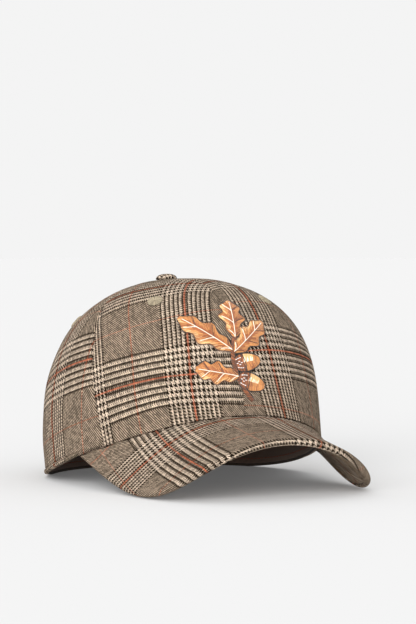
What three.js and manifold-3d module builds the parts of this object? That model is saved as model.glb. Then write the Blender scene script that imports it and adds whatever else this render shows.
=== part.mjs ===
// A six-panel peaked cap in check cloth, resting on its back hem and on the two lobes of its peak.
// Millimetres, +Z up. The wearer faces -Y, and +X is the wearer's left.
import * as THREE from "three";
import { mergeVertices } from "three/addons/utils/BufferGeometryUtils.js";
import Module from "manifold-3d";

// The head oval and the crown over it
const frontReach = 99.8; // middle of the oval to the front of the hem
const backReach = 91.7; // middle of the oval to the back of the hem
const halfWidth = 90.1; // middle of the oval to either side
const crownHeight = 132.1; // floor to the top, above the middle of the oval
const crownLean = 5.9; // degrees by which the top slopes down to the back
const buttonSetback = 26.6; // how far behind the middle the six panels meet
const joinHeight = 47.2; // floor to the hem at the front, where the peak is sewn on
const clothWall = 1.6; // cloth with its stiff backing
const clearance = 0.3; // gap between pieces that touch
const sideSeam = 63.3; // degrees from the front to the seam between front and side panels
const backSeam = 122; // degrees from the front to the seam between side and back panels
const seamBow = 2; // degrees by which a side seam bows back halfway up
const seamSway = 3.5; // degrees by which it sways forward below and back above
const tipRadius = 3.8; // the panels stop this far from the middle of the button

// The peak
const peakCorner = 69.8; // degrees from the front to where the peak leaves the crown
const peakReach = 63; // front of the hem to the tip of the peak
const peakPitch = 4.5; // degrees by which the peak slopes down to its tip
const peakBend = 78; // degrees by which the board is bent down at its corners
const cornerWidth = 2; // width of the peak where it leaves the crown
const cornerPull = 104; // how far the edge runs on from its corner before it turns
const cornerToe = 5.7; // degrees by which the edge turns in from straight ahead there
const tipPull = 78; // how far the edge runs along the tip before it turns
const cornerHold = 0.86; // share of the half peak past which its section keeps one slant
const boardWall = 3.2; // stiff board with its top cloth
const underWall = 1.3; // cloth under the peak
const rimWidth = 3.5; // top cloth that is folded over the edge of the board

// Small pieces
const bandHeight = 30; // sweatband
const bandWall = 1.2;
const bandLift = 1.6; // hem to the lower edge of the sweatband
const bandGap = 0.5; // between the sweatband and the panels it is sewn to
const buttonRadius = 7;
const buttonHeight = 4.6;
const rivetRadius = 2.4;
const plateRadius = 6;
const plateWall = 0.8;
const eyeletRadius = 5;
const eyeletBore = 1.5;
const eyeletCollar = 0.6; // thread that lines the hole in the cloth
const eyeletProud = 1.1; // thread that stands above the cloth
const eyeletSides = 12;
const eyeletRise = 0.49; // share of the way from the hem to the button
const threadBed = 0.5; // height of the embroidery at its edges
const threadPad = 0.6; // how much higher its middle stands
const sprigFoot = 9; // front hem to the foot of the embroidered sprig
const sprigHeight = 72;

// The crown at each sixth of a turn: the hem's height as a share of joinHeight, how square the crown
// is in plan and in profile (2 is a plain ellipse), and the share by which it swells as it rises.
const crownSections = [
  { angle: 0, hem: 1, plan: 2.88, profile: 3.02, swell: 0.027 },
  { angle: 60, hem: 0.542, plan: 2.08, profile: 3.49, swell: 0.052 },
  { angle: 120, hem: 0.014, plan: 1.97, profile: 2.35, swell: 0.034 },
  { angle: 180, hem: -0.013, plan: 2.22, profile: 2.2, swell: 0.023 },
];

// The sprig's leaves and acorns, from where each is joined to where it ends, as shares of
// sprigHeight across (to the wearer's left) and up from its foot, with the width and lobes of each.
const sprigLeaves = [
  { from: [0.0, 0.58], to: [0.06, 1.0], width: 0.26, lobes: 3 },
  { from: [-0.05, 0.46], to: [-0.45, 0.8], width: 0.27, lobes: 3 },
  { from: [-0.04, 0.44], to: [0.33, 0.74], width: 0.24, lobes: 3 },
  { from: [-0.03, 0.22], to: [-0.4, 0.3], width: 0.22, lobes: 3 },
];
const sprigAcorns = [
  { from: [-0.05, 0.33], to: [0.2, 0.37], width: 0.16 },
  { from: [-0.03, 0.2], to: [0.21, 0.13], width: 0.16 },
];
const lobeDepth = 0.3;
const sprigStem = { from: [0.08, 0.0], bend: [-0.16, 0.3], to: [0.02, 0.64], width: 0.036 };

const checkCloth = { color: 0x8b7a6b, roughness: 0.92, metalness: 0 };
const shadeCloth = { color: 0x6f6156, roughness: 0.95, metalness: 0 };
const bandCloth = { color: 0x30231d, roughness: 0.85, metalness: 0 };
const eyeletThread = { color: 0xa59c80, roughness: 0.6, metalness: 0 };
const sprigThread = { color: 0xa96b3a, roughness: 0.55, metalness: 0 };

const wasm = await Module();
wasm.setup();
const { degToRad, lerp } = THREE.MathUtils;
const halfTurn = Math.PI / 2;

// Solids

// A closed body between two grids of points. The outer grid faces out where its columns run
// to the left of its rows, as the front of the crown is seen from outside.
function shellGeometry(columns, rows, outer, inner, ring = false) {
  const across = ring ? columns : columns + 1;
  const points = [];
  for (const face of [outer, inner])
    for (let j = 0; j <= rows; j++) for (let i = 0; i < across; i++) points.push(face(i / columns, j / rows));
  const at = (face, i, j) => (face * (rows + 1) + j) * across + (i % across);
  const index = [];
  const quad = (a, b, c, d) => index.push(a, b, c, a, c, d);
  for (let i = 0; i < columns; i++) {
    for (let j = 0; j < rows; j++) {
      quad(at(0, i, j), at(0, i + 1, j), at(0, i + 1, j + 1), at(0, i, j + 1));
      quad(at(1, i + 1, j + 1), at(1, i + 1, j), at(1, i, j), at(1, i, j + 1));
    }
    quad(at(0, i + 1, 0), at(0, i, 0), at(1, i, 0), at(1, i + 1, 0));
    quad(at(0, i, rows), at(0, i + 1, rows), at(1, i + 1, rows), at(1, i, rows));
  }
  for (let j = 0; j < rows && !ring; j++) {
    quad(at(0, 0, j), at(0, 0, j + 1), at(1, 0, j + 1), at(1, 0, j));
    quad(at(0, columns, j + 1), at(0, columns, j), at(1, columns, j), at(1, columns, j + 1));
  }
  return new THREE.BufferGeometry().setFromPoints(points).setIndex(index);
}

function toSolid(geometry) {
  const bare = geometry.clone();
  for (const name of ["normal", "uv"]) bare.deleteAttribute(name);
  const merged = mergeVertices(bare, 1e-4);
  return new wasm.Manifold(
    new wasm.Mesh({
      numProp: 3,
      vertProperties: merged.attributes.position.array,
      triVerts: new Uint32Array(merged.index.array),
    }),
  );
}

function toGeometry(solid) {
  const mesh = solid.getMesh();
  const geometry = new THREE.BufferGeometry();
  geometry.setAttribute("position", new THREE.BufferAttribute(mesh.vertProperties, 3));
  geometry.setIndex(new THREE.BufferAttribute(mesh.triVerts, 1));
  return geometry;
}

function piece(name, geometry, look) {
  const mesh = new THREE.Mesh(geometry, new THREE.MeshStandardMaterial(look));
  mesh.name = name;
  return mesh;
}

// The crown's skin

// A value from one column of crownSections at any angle, smooth all round and alike on both sides.
function aroundCrown(column, angle) {
  const [front, foreSide, backSide, back] = crownSections.map((row) => row[column]);
  return (
    (front + 2 * foreSide + 2 * backSide + back) / 6 +
    ((front + foreSide - backSide - back) / 3) * Math.cos(angle) +
    ((front - foreSide - backSide + back) / 3) * Math.cos(2 * angle) +
    ((front - 2 * foreSide + 2 * backSide - back) / 6) * Math.cos(3 * angle)
  );
}

const hemHeight = (angle) => Math.max(0, joinHeight * aroundCrown("hem", angle));
const topHeight = (y) => crownHeight - Math.tan(degToRad(crownLean)) * y;
const ovalReach = (angle) => (Math.cos(angle) > 0 ? frontReach : backReach);

// A point of the outer skin: angle in radians from the front, rise 0 at the hem and 1 at the button.
function crownSkin(angle, rise) {
  const turn = rise * halfTurn;
  const inward = Math.cos(turn) ** (2 / aroundCrown("plan", angle));
  const upward = Math.sin(turn) ** (2 / aroundCrown("profile", angle));
  const spread = inward * (1 + aroundCrown("swell", angle) * upward);
  const x = halfWidth * Math.sin(angle) * spread;
  const y = buttonSetback * upward - ovalReach(angle) * Math.cos(angle) * spread;
  return new THREE.Vector3(x, y, lerp(hemHeight(angle), topHeight(y), upward));
}

function crownNormal(angle, rise) {
  const step = 1e-3;
  const low = Math.max(rise - step, 0);
  const high = Math.min(rise + step, 1 - step);
  const around = crownSkin(angle + step, rise).sub(crownSkin(angle - step, rise));
  const up = crownSkin(angle, high).sub(crownSkin(angle, Math.min(low, high - step)));
  return around.cross(up).normalize();
}

// A point at some depth under the skin. The hem keeps its height, so its underside is level.
function crownPoint(angle, rise, depth) {
  const point = crownSkin(angle, rise).addScaledVector(crownNormal(angle, rise), -depth);
  if (rise === 0) point.z = hemHeight(angle);
  return point;
}

// The rise at which the skin stands a given height above the hem, or a given radius from the button.
function riseAtHeight(angle, height) {
  const full = topHeight(-ovalReach(angle) * Math.cos(angle)) - hemHeight(angle);
  return Math.asin((height / full) ** (aroundCrown("profile", angle) / 2)) / halfTurn;
}

function riseAtRadius(angle, radius) {
  const reach = Math.hypot(halfWidth * Math.sin(angle), ovalReach(angle) * Math.cos(angle));
  return Math.acos((radius / reach) ** (aroundCrown("plan", angle) / 2)) / halfTurn;
}

const skinWidth = (angle, rise) =>
  crownSkin(angle + 1e-3, rise).distanceTo(crownSkin(angle - 1e-3, rise)) / 2e-3;

// Panels

function seamAngle(seam, rise) {
  const wander = seamBow * Math.sin(Math.PI * rise) - seamSway * Math.sin(2 * Math.PI * rise);
  return degToRad(seam === sideSeam ? seam + wander : seam);
}

const panelKinds = [
  { name: "front", from: 0, to: sideSeam },
  { name: "side", from: sideSeam, to: backSeam },
  { name: "back", from: backSeam, to: 180 },
];
const sides = [
  { name: "right", sign: -1 },
  { name: "left", sign: 1 },
];

const panelColumns = 10;
const panelRows = 12;

const panelMiddle = ({ from, to }, rise) => (seamAngle(from, rise) + seamAngle(to, rise)) / 2;

function crownPanel(kind, side) {
  const [first, last] = side.sign > 0 ? [kind.from, kind.to] : [kind.to, kind.from];
  const face = (depth) => (across, up) => {
    const climbed = (1 - Math.cos(Math.PI * up)) / 2; // rows draw together at the hem and the button
    const start = side.sign * seamAngle(first, climbed);
    const end = side.sign * seamAngle(last, climbed);
    const rise = climbed * riseAtRadius(lerp(start, end, across), tipRadius);
    const margin = clearance / 2 / skinWidth(lerp(start, end, across), rise);
    return crownPoint(lerp(start + margin, end - margin, across), rise, depth);
  };
  const blank = toSolid(shellGeometry(panelColumns, panelRows, face(0), face(clothWall)));
  const drill = new THREE.CylinderGeometry(1, 1, 4 * clothWall, eyeletSides).rotateX(halfTurn);
  const bore = eyeletBore + eyeletCollar + clearance;
  drill.scale(bore, bore, 1).applyMatrix4(eyeletFrame(kind, side));
  return toGeometry(blank.subtract(toSolid(drill)));
}

// Eyelets: rings of thread round a small hole in each panel

function eyeletFrame(kind, side) {
  const angle = side.sign * panelMiddle(kind, eyeletRise);
  const seat = crownSkin(angle, eyeletRise);
  const turn = new THREE.Quaternion().setFromUnitVectors(
    new THREE.Vector3(0, 0, 1),
    crownNormal(angle, eyeletRise),
  );
  return new THREE.Matrix4().compose(seat, turn, new THREE.Vector3(1, 1, 1));
}

// A ring or a solid of revolution about Z from a profile of radius and height.
function turned(profile, segments) {
  const lathe = new THREE.LatheGeometry(
    profile.map(([radius, height]) => new THREE.Vector2(radius, height)),
    segments,
  );
  return lathe.rotateX(halfTurn);
}

function eyeletRing() {
  const collar = eyeletBore + eyeletCollar;
  const foot = clearance;
  const crest = foot + eyeletProud;
  const profile = [
    [eyeletBore, -clothWall],
    [collar, -clothWall],
    [collar, foot],
    [eyeletRadius, foot],
    [lerp(collar, eyeletRadius, 0.8), lerp(foot, crest, 0.8)],
    [lerp(collar, eyeletRadius, 0.2), crest],
    [eyeletBore, lerp(foot, crest, 0.6)],
  ];
  return turned([...profile, profile[0]], eyeletSides);
}

// Button: a cloth-covered cap on a rivet that clamps the tips of the panels

function topButton() {
  const underside = -clothWall - clearance;
  const brim = clearance + buttonHeight * 0.3;
  const dome = [0.3, 0.55, 0.8, 1].map((share) => [
    buttonRadius * Math.cos(share * halfTurn) ** 0.8,
    lerp(brim, clearance + buttonHeight, Math.sin(share * halfTurn)),
  ]);
  dome.at(-1)[0] = 0;
  const profile = [
    [0, underside - plateWall],
    [plateRadius, underside - plateWall],
    [plateRadius, underside],
    [rivetRadius, underside],
    [rivetRadius, clearance],
    [buttonRadius * 0.9, clearance],
    [buttonRadius, brim],
    ...dome,
  ];
  const seat = new THREE.Vector3(0, buttonSetback, topHeight(buttonSetback));
  return turned(profile, 18).rotateX(-degToRad(crownLean)).translate(seat.x, seat.y, seat.z);
}

// Sweatband: a band inside the hem, all round

function sweatband() {
  const face = (depth) => (around, up) => {
    const angle = around * 2 * Math.PI;
    return crownPoint(angle, riseAtHeight(angle, bandLift + up * bandHeight), depth);
  };
  const outside = clothWall + bandGap;
  return shellGeometry(60, 2, face(outside), face(outside + bandWall), true);
}

// Peak: a bent board under its cloth, from the hem (reach 0) to its free edge (reach 1),
// and from the wearer's left corner (side 1) to the right one (side -1)

const tipY = -frontReach - peakReach;
const cornerSeat = crownSkin(degToRad(peakCorner), 0);
const cornerOut = crownNormal(degToRad(peakCorner), 0).multiplyScalar(cornerWidth);
const corner = new THREE.Vector2(cornerSeat.x + cornerOut.x, cornerSeat.y + cornerOut.y);
const edgePlan = new THREE.CubicBezierCurve(
  corner,
  new THREE.Vector2(
    corner.x - cornerPull * Math.sin(degToRad(cornerToe)),
    corner.y - cornerPull * Math.cos(degToRad(cornerToe)),
  ),
  new THREE.Vector2(tipPull, tipY),
  new THREE.Vector2(0, tipY),
);
const bendRadius = corner.x / Math.sin(degToRad(peakBend));

// The height of the bent board over its tip, before the edge is raised to meet the hem.
const bentBoard = (x, y) =>
  Math.tan(degToRad(peakPitch)) * (y - tipY) - bendRadius + Math.sqrt(Math.max(0, bendRadius ** 2 - x ** 2));

function peakEdge(side, tipHeight) {
  const plan = edgePlan.getPointAt(1 - Math.abs(side));
  const lift = hemHeight(degToRad(peakCorner)) - tipHeight - bentBoard(corner.x, corner.y);
  const back = (plan.y - tipY) / (corner.y - tipY);
  const height = tipHeight + bentBoard(plan.x, plan.y) + lift * back ** 2;
  return new THREE.Vector3(Math.sign(side) * plan.x, plan.y, height);
}

function peakJoin(side, depth) {
  const join = crownPoint(degToRad(side * peakCorner), 0, depth);
  join.z -= clearance;
  return join;
}

// The board's thickness is measured along this direction, which stays the same near a corner.
function peakNormal(side, tipHeight) {
  const step = side > 0 ? -0.01 : 0.01;
  const place = THREE.MathUtils.clamp(side, -cornerHold, cornerHold);
  const middle = (s) => peakJoin(s, 0).lerp(peakEdge(s, tipHeight), 0.5);
  const along = middle(place + step).sub(middle(place));
  const out = peakEdge(place, tipHeight).sub(peakJoin(place, 0));
  const normal = along.cross(out).normalize();
  return normal.z < 0 ? normal.negate() : normal;
}

function peakPoint(side, reach, depth, tipHeight) {
  const seat = reach < 0 ? peakJoin(side, clothWall) : peakJoin(side, 0).lerp(peakEdge(side, tipHeight), reach);
  return seat.addScaledVector(peakNormal(side, tipHeight), -depth);
}

// The tip's height that brings the lowest points of the rim just below the floor, to be trimmed flat.
function restingTipHeight() {
  const rimWall = boardWall + clearance + underWall;
  const trimmed = 0.3;
  let tipHeight = joinHeight;
  for (let pass = 0; pass < 6; pass++) {
    const heights = [];
    for (let side = 0; side <= 0.9; side += 0.02) heights.push(peakPoint(side, 1, rimWall, tipHeight).z);
    tipHeight -= Math.min(...heights) + trimmed;
  }
  return tipHeight;
}
const tipHeight = restingTipHeight();

const peakWidth = (side) => peakJoin(side, 0).distanceTo(peakEdge(side, tipHeight));
const rimReach = (side, margin) => 1 - Math.min(0.5, (rimWidth + margin) / peakWidth(side));

// The cloth under the peak stops short of both corners, on the same columns as the board's.
const peakColumns = 36;
const cornerColumns = 2;

// Rows across the peak: the strip under the hem, the board, and the rim folded down round its edge.
function peakTop() {
  const boardRows = 5;
  const rows = boardRows + 3;
  const reachOf = (side, row) => {
    if (row === 0) return -1;
    if (row <= boardRows) return ((row - 1) / (boardRows - 1)) * rimReach(side, clearance);
    return row === rows ? 1 : rimReach(side, 0) + (row - boardRows - 1) * 0.5 * (1 - rimReach(side, 0));
  };
  const face = (lower) => (across, out) => {
    const side = 1 - 2 * across;
    const row = Math.round(out * rows);
    const wall = row > boardRows ? boardWall + clearance + underWall : boardWall;
    return peakPoint(side, reachOf(side, row), lower ? wall : 0, tipHeight);
  };
  const blank = toSolid(shellGeometry(peakColumns, rows, face(false), face(true)));
  const floor = new THREE.BoxGeometry(4 * halfWidth, 4 * peakReach, 20);
  return toGeometry(blank.subtract(toSolid(floor.translate(0, -frontReach, -10))));
}

function peakUnderside() {
  const columns = peakColumns - 2 * cornerColumns;
  const ends = columns / peakColumns;
  const face = (depth) => (across, out) => {
    const side = ends * (1 - 2 * across);
    return peakPoint(side, lerp(0.02, rimReach(side, 2 * clearance), out), depth, tipHeight);
  };
  const top = boardWall + clearance;
  return shellGeometry(columns, 4, face(top), face(top + underWall));
}

// Embroidery: a sprig of leaves and acorns in low relief across the two front panels

const climb = 48;
const seamLengths = [0];
for (let i = 1; i <= climb; i++)
  seamLengths.push(seamLengths[i - 1] + crownSkin(0, i / climb).distanceTo(crownSkin(0, (i - 1) / climb)));

function riseAlongSeam(length) {
  const i = Math.max(1, seamLengths.findIndex((reached) => reached >= length));
  return (i - 1 + (length - seamLengths[i - 1]) / (seamLengths[i] - seamLengths[i - 1])) / climb;
}

function onFront(place, lift) {
  const rise = riseAlongSeam(sprigFoot + place.y);
  return crownPoint(place.x / skinWidth(0, rise), rise, -lift);
}

// A padded strip of stitches along a path, with its half width from a function of the way along.
function stitchedStrip(path, halfWidthAt, columns, rows) {
  const face = (top) => (along, across) => {
    const u = 2 * across - 1;
    const tangent = path.getTangent(along);
    const place = path.getPoint(along);
    place.add(new THREE.Vector2(-tangent.y, tangent.x).multiplyScalar(u * halfWidthAt(along)));
    return onFront(place, clearance + (top ? threadBed + threadPad * (1 - u * u) : 0));
  };
  return toSolid(shellGeometry(columns, rows, face(true), face(false)));
}

const onSprig = ([across, up]) => new THREE.Vector2(across, up).multiplyScalar(sprigHeight);

function leaf({ from, to, width, lobes }) {
  const swell = (s) => Math.sin(Math.PI * s ** 1.2) ** 0.75;
  const lobed = (s) => 1 - lobeDepth * Math.cos(2 * Math.PI * lobes * s);
  const stalk = sprigStem.width / 2;
  const half = (s) => sprigHeight * (stalk + (width / 2 - stalk) * swell(s) * lobed(s) / (1 + lobeDepth));
  return stitchedStrip(new THREE.LineCurve(onSprig(from), onSprig(to)), half, 6 * lobes, 2);
}

function acorn({ from, to, width }) {
  const half = (s) => (sprigHeight * width * (0.15 + 0.85 * Math.sin(Math.PI * s ** 0.7) ** 0.5)) / 2;
  return stitchedStrip(new THREE.LineCurve(onSprig(from), onSprig(to)), half, 8, 4);
}

function frontEmbroidery() {
  const { from, bend, to, width } = sprigStem;
  const path = new THREE.QuadraticBezierCurve(onSprig(from), onSprig(bend), onSprig(to));
  const stem = stitchedStrip(path, () => (sprigHeight * width) / 2, 10, 2);
  const sprig = [...sprigLeaves.map(leaf), ...sprigAcorns.map(acorn)];
  return toGeometry(sprig.reduce((joined, part) => joined.add(part), stem));
}

// The cap

const cap = new THREE.Group();
for (const kind of panelKinds)
  for (const side of sides) {
    cap.add(piece(`${kind.name}_panel_${side.name}`, crownPanel(kind, side), checkCloth));
    const ring = piece(`eyelet_${kind.name}_${side.name}`, eyeletRing(), eyeletThread);
    ring.applyMatrix4(eyeletFrame(kind, side));
    cap.add(ring);
  }
cap.add(
  piece("top_button", topButton(), checkCloth),
  piece("sweatband", sweatband(), bandCloth),
  piece("peak_top", peakTop(), checkCloth),
  piece("peak_underside", peakUnderside(), shadeCloth),
  piece("front_embroidery", frontEmbroidery(), sprigThread),
);

// The origin is under the middle of the cap's outer box, on the floor.
const box = new THREE.Box3().setFromObject(cap);
const middle = box.getCenter(new THREE.Vector3());
cap.position.set(-middle.x, -middle.y, -box.min.z);

const part = new THREE.Group();
part.add(cap);
export default part;
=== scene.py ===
# Six-panel peaked cap in glen check cloth, resting on its back hem and the lobes of its peak.
# Shapes are worked out in millimetres in the cap's own frame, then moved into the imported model's.
import math
from functools import partial
import bpy
import numpy as np
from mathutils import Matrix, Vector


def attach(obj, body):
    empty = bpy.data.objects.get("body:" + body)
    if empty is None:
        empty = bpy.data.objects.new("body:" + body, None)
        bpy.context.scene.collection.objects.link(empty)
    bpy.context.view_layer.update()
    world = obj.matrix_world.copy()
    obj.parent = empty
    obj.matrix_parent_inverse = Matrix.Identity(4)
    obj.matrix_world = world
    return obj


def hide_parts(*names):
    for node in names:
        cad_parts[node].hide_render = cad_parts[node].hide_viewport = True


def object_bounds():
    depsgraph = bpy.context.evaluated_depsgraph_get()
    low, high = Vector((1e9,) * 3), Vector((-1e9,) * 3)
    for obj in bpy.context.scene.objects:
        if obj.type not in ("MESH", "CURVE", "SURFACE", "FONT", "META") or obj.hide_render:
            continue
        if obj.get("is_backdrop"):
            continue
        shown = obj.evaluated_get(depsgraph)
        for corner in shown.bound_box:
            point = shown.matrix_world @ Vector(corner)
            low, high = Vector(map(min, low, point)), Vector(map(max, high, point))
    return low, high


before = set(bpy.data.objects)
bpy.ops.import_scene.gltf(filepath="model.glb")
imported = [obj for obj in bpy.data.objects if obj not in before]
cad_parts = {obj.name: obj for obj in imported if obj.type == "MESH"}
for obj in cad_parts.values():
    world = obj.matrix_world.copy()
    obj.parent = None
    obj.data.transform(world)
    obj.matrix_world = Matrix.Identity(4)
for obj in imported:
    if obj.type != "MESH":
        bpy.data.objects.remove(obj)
cadBox = [list(corner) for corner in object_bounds()]
print("frame loaded:", len(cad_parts), "nodes")

mm = 0.001
quarterTurn = math.pi / 2

# The crown's own sizes, in millimetres and degrees
crown = {
    "frontReach": 99.8,  # middle of the head oval to the front of the hem
    "backReach": 91.7,
    "halfWidth": 90.1,
    "height": 132.1,  # floor to the top, above the middle of the oval
    "lean": 5.9,  # the top slopes down to the back
    "buttonSetback": 26.6,
    "joinHeight": 47.2,  # floor to the hem at the front
    "wall": 1.6,
    "gap": 0.3,
    "sideSeam": 63.3,
    "backSeam": 122,
    "seamBow": 2,
    "seamSway": 3.5,
    "seamFoot": 4.7,  # degrees by which the side seam's foot runs forward, below footRise
    "footRise": 0.2,
    "tipRadius": 3.8,
    # at 0, 60, 120 and 180 degrees from the front: hem height, squareness in plan and profile, swell
    "hem": (1, 0.542, 0.014, -0.013),
    "plan": (2.88, 2.08, 1.97, 2.22),
    "profile": (3.02, 3.49, 2.35, 2.2),
    "swell": (0.027, 0.052, 0.034, 0.023),
}

peak = {
    "corner": 69.8,  # degrees from the front to where the peak leaves the crown
    "reach": 63,
    "pitch": 4.5,
    "bend": 78,
    "cornerWidth": 2,
    "cornerPull": 104,
    "cornerToe": 5.7,
    "tipPull": 78,
    "cornerHold": 0.86,
    "board": 3.2,
    "under": 1.3,
    "rimWidth": 3.5,
    "press": 0.3,  # how far the lobes it rests on are pressed flat
}

# The cap's middle lies ahead of the frame's origin, which is under the middle of the whole box.
capShift = cadBox[0][1] / mm + crown["frontReach"] + peak["reach"]


def toFrame(points):
    return (np.asarray(points, float) + (0, capShift, 0)) * mm


# Shape of the crown

def aroundCrown(column, angle):
    front, foreSide, backSide, back = crown[column]
    return (
        (front + 2 * foreSide + 2 * backSide + back) / 6
        + (front + foreSide - backSide - back) / 3 * np.cos(angle)
        + (front - foreSide - backSide + back) / 3 * np.cos(2 * angle)
        + (front - 2 * foreSide + 2 * backSide - back) / 6 * np.cos(3 * angle)
    )


def hemHeight(angle):
    return np.maximum(0, crown["joinHeight"] * aroundCrown("hem", angle))


def topHeight(y):
    return crown["height"] - math.tan(math.radians(crown["lean"])) * y


def ovalReach(angle):
    return np.where(np.cos(angle) > 0, crown["frontReach"], crown["backReach"])


def crownSkin(angle, rise):
    angle, rise = np.broadcast_arrays(np.asarray(angle, float), np.asarray(rise, float))
    turn = np.clip(rise, 0, 1) * quarterTurn
    inward = np.cos(turn) ** (2 / aroundCrown("plan", angle))
    upward = np.sin(turn) ** (2 / aroundCrown("profile", angle))
    spread = inward * (1 + aroundCrown("swell", angle) * upward)
    x = crown["halfWidth"] * np.sin(angle) * spread
    y = crown["buttonSetback"] * upward - ovalReach(angle) * np.cos(angle) * spread
    hem = hemHeight(angle)
    return np.stack([x, y, hem + (topHeight(y) - hem) * upward], -1)


def unit(vectors):
    return vectors / np.maximum(np.linalg.norm(vectors, axis=-1, keepdims=True), 1e-12)


def runLength(points):
    # length along a line of points, from its start to each of them
    return np.concatenate([[0], np.cumsum(np.linalg.norm(np.diff(points, axis=0), axis=1))])


def pointsAlong(path, along, where):
    return np.stack([np.interp(where, along, path[:, axis]) for axis in range(path.shape[1])], -1)


def circleAngles(count):
    return np.arange(count) * 2 * math.pi / count


def crownNormal(angle, rise):
    step = 1e-3
    angle, rise = np.broadcast_arrays(np.asarray(angle, float), np.asarray(rise, float))
    high = np.minimum(rise + step, 1 - step)
    low = np.minimum(np.maximum(rise - step, 0), high - step)
    around = crownSkin(angle + step, rise) - crownSkin(angle - step, rise)
    return unit(np.cross(around, crownSkin(angle, high) - crownSkin(angle, low)))


def crownPoint(angle, rise, depth):
    return crownSkin(angle, rise) - crownNormal(angle, rise) * np.asarray(depth, float)[..., None]


def riseAtHeight(angle, height):
    full = topHeight(-ovalReach(angle) * np.cos(angle)) - hemHeight(angle)
    bend = aroundCrown("profile", angle) / 2
    return np.arcsin((np.maximum(height, 0) / full) ** bend) / quarterTurn


def riseAtRadius(angle, radius):
    reach = np.hypot(crown["halfWidth"] * np.sin(angle), ovalReach(angle) * np.cos(angle))
    return np.arccos((radius / reach) ** (aroundCrown("plan", angle) / 2)) / quarterTurn


def skinWidth(angle, rise):
    step = 1e-3
    across = crownSkin(angle + step, rise) - crownSkin(angle - step, rise)
    return np.linalg.norm(across, axis=-1) / (2 * step)


def seamAt(seam, rise, foot=1.0):
    # only the side seams wander
    wander = crown["seamBow"] * np.sin(math.pi * rise) - crown["seamSway"] * np.sin(2 * math.pi * rise)
    wander -= foot * crown["seamFoot"] * np.maximum(0, 1 - rise / crown["footRise"]) ** 2
    return np.sign(seam) * np.radians(abs(seam) + wander * (abs(seam) == crown["sideSeam"]))


# Shape of the peak: side runs from 1 at the wearer's left corner to -1 at the right one

tipY = -crown["frontReach"] - peak["reach"]
cornerAngle = math.radians(peak["corner"])
cornerPlace = crownSkin(cornerAngle, 0.0) + crownNormal(cornerAngle, 0.0) * peak["cornerWidth"]
bendRadius = cornerPlace[0] / math.sin(math.radians(peak["bend"]))


def edgePlan():
    toe = math.radians(peak["cornerToe"])
    corner = cornerPlace[:2]
    pull = corner + peak["cornerPull"] * np.array([-math.sin(toe), -math.cos(toe)])
    handles = [corner, pull, np.array([peak["tipPull"], tipY]), np.array([0, tipY])]
    t = np.linspace(0, 1, 400)[:, None]
    weights = (math.comb(3, n) * (1 - t) ** (3 - n) * t**n for n in range(4))
    curve = sum(weight * handle for weight, handle in zip(weights, handles))
    along = runLength(curve)
    return curve, along / along[-1]


edgeCurve, edgeAlong = edgePlan()


def bentBoard(x, y):
    drop = np.sqrt(np.maximum(0, bendRadius**2 - x**2)) - bendRadius
    return math.tan(math.radians(peak["pitch"])) * (y - tipY) + drop


def peakEdge(side):
    side = np.asarray(side, float)
    x = np.interp(1 - np.abs(side), edgeAlong, edgeCurve[:, 0])
    y = np.interp(1 - np.abs(side), edgeAlong, edgeCurve[:, 1])
    lift = hemHeight(cornerAngle) - peak["tipHeight"] - bentBoard(cornerPlace[0], cornerPlace[1])
    back = (y - tipY) / (cornerPlace[1] - tipY)
    height = peak["tipHeight"] + bentBoard(x, y) + lift * back**2
    return np.stack([np.sign(side) * x, y, height], -1)


def peakJoin(side, depth=0.0):
    angle = np.asarray(side, float) * cornerAngle
    join = crownPoint(angle, 0.0, depth)
    join[..., 2] = hemHeight(angle) - crown["gap"]
    return join


def peakNormal(side):
    side = np.clip(np.asarray(side, float), -peak["cornerHold"], peak["cornerHold"])
    step = 0.01

    def middle(s):
        return (peakJoin(s) + peakEdge(s)) / 2

    across = middle(side + step) - middle(side - step)
    normal = unit(np.cross(across, peakEdge(side) - peakJoin(side)))
    return normal * np.where(normal[..., 2:] < 0, -1, 1)


def peakLength(side):
    return np.linalg.norm(peakEdge(side) - peakJoin(side), axis=1)


rimWall = peak["board"] + crown["gap"] + peak["under"]


def lowerTip():
    # the tip goes down until the lobes of the peak rest on the floor
    side = np.arange(0, 0.9, 0.02)
    peak["tipHeight"] = crown["joinHeight"]
    for _ in range(6):
        low = peakEdge(side) - peakNormal(side) * rimWall
        peak["tipHeight"] -= low[:, 2].min() + peak["press"]


lowerTip()
print("peak tip stands", round(peak["tipHeight"], 1), "mm above the floor")


# Camera, at the angle the cap is seen from: a little to the wearer's right and just above it
view = {
    "azimuth": -23.746,
    "elevation": 2.811,
    "distance": 1486.2,
    "mmPerPixel": 0.651,  # at the target
    "target": (0, 7.72, 75),  # mm, in the frame
    "centrePixel": (197.483, 365.591),  # where the target falls in the 416 by 624 image
    "image": (416, 624),
    "sensor": 36,
}


def addObject(name, data):
    thing = bpy.data.objects.new(name, data)
    bpy.context.scene.collection.objects.link(thing)
    return thing


def placeCamera():
    turn = math.radians(view["azimuth"])
    rise = math.radians(view["elevation"])
    back = np.array([math.sin(turn) * math.cos(rise), -math.cos(turn) * math.cos(rise), math.sin(rise)])
    wide, high = view["image"]
    data = bpy.data.cameras.new("camera")
    data.sensor_width = view["sensor"]
    data.lens = view["sensor"] * view["distance"] / (high * view["mmPerPixel"])
    data.shift_x = (wide / 2 - view["centrePixel"][0]) / high
    data.shift_y = (view["centrePixel"][1] - high / 2) / high
    camera = addObject("camera", data)
    camera.location = (np.array(view["target"]) + back * view["distance"]) * mm
    camera.rotation_euler = (quarterTurn - rise, 0, turn)
    bpy.context.scene.camera = camera


placeCamera()


# Mesh helpers

def gridFaces(rows, columns, first=0):
    row, column = np.meshgrid(np.arange(rows - 1), np.arange(columns - 1), indexing="ij")
    corner = (first + row * columns + column).ravel()
    return np.stack([corner, corner + 1, corner + columns + 1, corner + columns], 1)


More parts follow.
